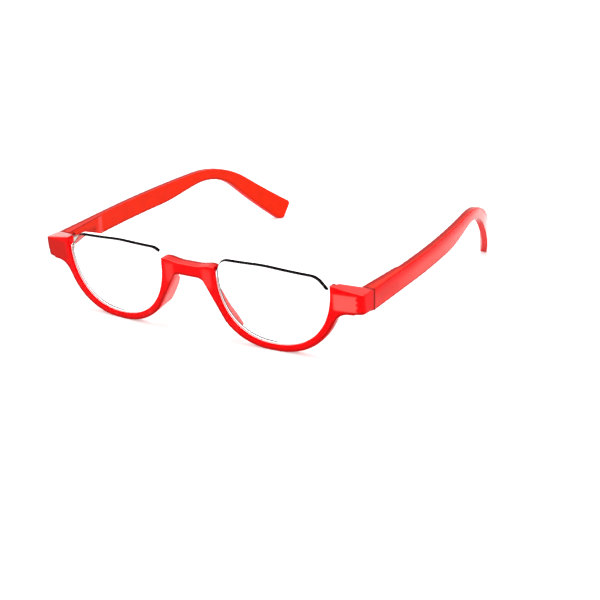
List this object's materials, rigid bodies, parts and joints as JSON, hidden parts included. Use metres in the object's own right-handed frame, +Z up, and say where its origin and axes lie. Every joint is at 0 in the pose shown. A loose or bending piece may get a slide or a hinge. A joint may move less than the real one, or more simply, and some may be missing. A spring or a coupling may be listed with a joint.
{
  "type": "half-moon reading glasses",
  "caption": "Half-moon reading glasses with translucent red moulded lower rims, cut lenses with bare tops and flat temples on sprung hinges.",
  "frame": {"origin": "middle of the footprint, on the table that the open glasses stand on", "axes": "+X to the wearer's left, +Y back along the open temples, +Z up"},
  "size_m": [0.1364, 0.1423, 0.0318],
  "materials": {
    "red_plastic": "polished translucent red moulding",
    "clear_lens": "clear polished lens with a dark-looking cut edge",
    "hinge_steel": "plain steel hinge metal"
  },
  "bodies": {
    "front": {"front_frame": "red_plastic", "lens_left": "clear_lens", "lens_right": "clear_lens", "hinge_anchor_left": "hinge_steel", "hinge_anchor_right": "hinge_steel"},
    "hinge_left": {"hinge_slider_left": "hinge_steel", "hinge_screw_left": "hinge_steel", "stop_nut_left": "hinge_steel"},
    "arm_left": {"temple_left": "red_plastic", "spring_housing_left": "hinge_steel", "guide_bush_left": "hinge_steel", "hinge_spring_left": "hinge_steel"},
    "hinge_right": {"hinge_slider_right": "hinge_steel", "hinge_screw_right": "hinge_steel", "stop_nut_right": "hinge_steel"},
    "arm_right": {"temple_right": "red_plastic", "spring_housing_right": "hinge_steel", "guide_bush_right": "hinge_steel", "hinge_spring_right": "hinge_steel"}
  },
  "joints": [
    {"name": "fold_left", "type": "hinge", "parent": "front", "child": "hinge_left", "pos_m": [0.06212, -0.0585, 0.022], "axis": [0, 0, 1], "range_deg": [0, 87]},
    {"name": "draw_left", "type": "slide", "parent": "hinge_left", "child": "arm_left", "axis": [0, 1, 0], "range_m": [0, 0.0012], "stiffness_N_per_m": 750, "springref_m": -0.002, "deforming": ["hinge_spring_left"]},
    {"name": "fold_right", "type": "hinge", "parent": "front", "child": "hinge_right", "pos_m": [-0.06212, -0.0585, 0.022], "axis": [0, 0, -1], "range_deg": [0, 81]},
    {"name": "draw_right", "type": "slide", "parent": "hinge_right", "child": "arm_right", "axis": [0, 1, 0], "range_m": [0, 0.0012], "stiffness_N_per_m": 750, "springref_m": -0.002, "deforming": ["hinge_spring_right"]}
  ]
}
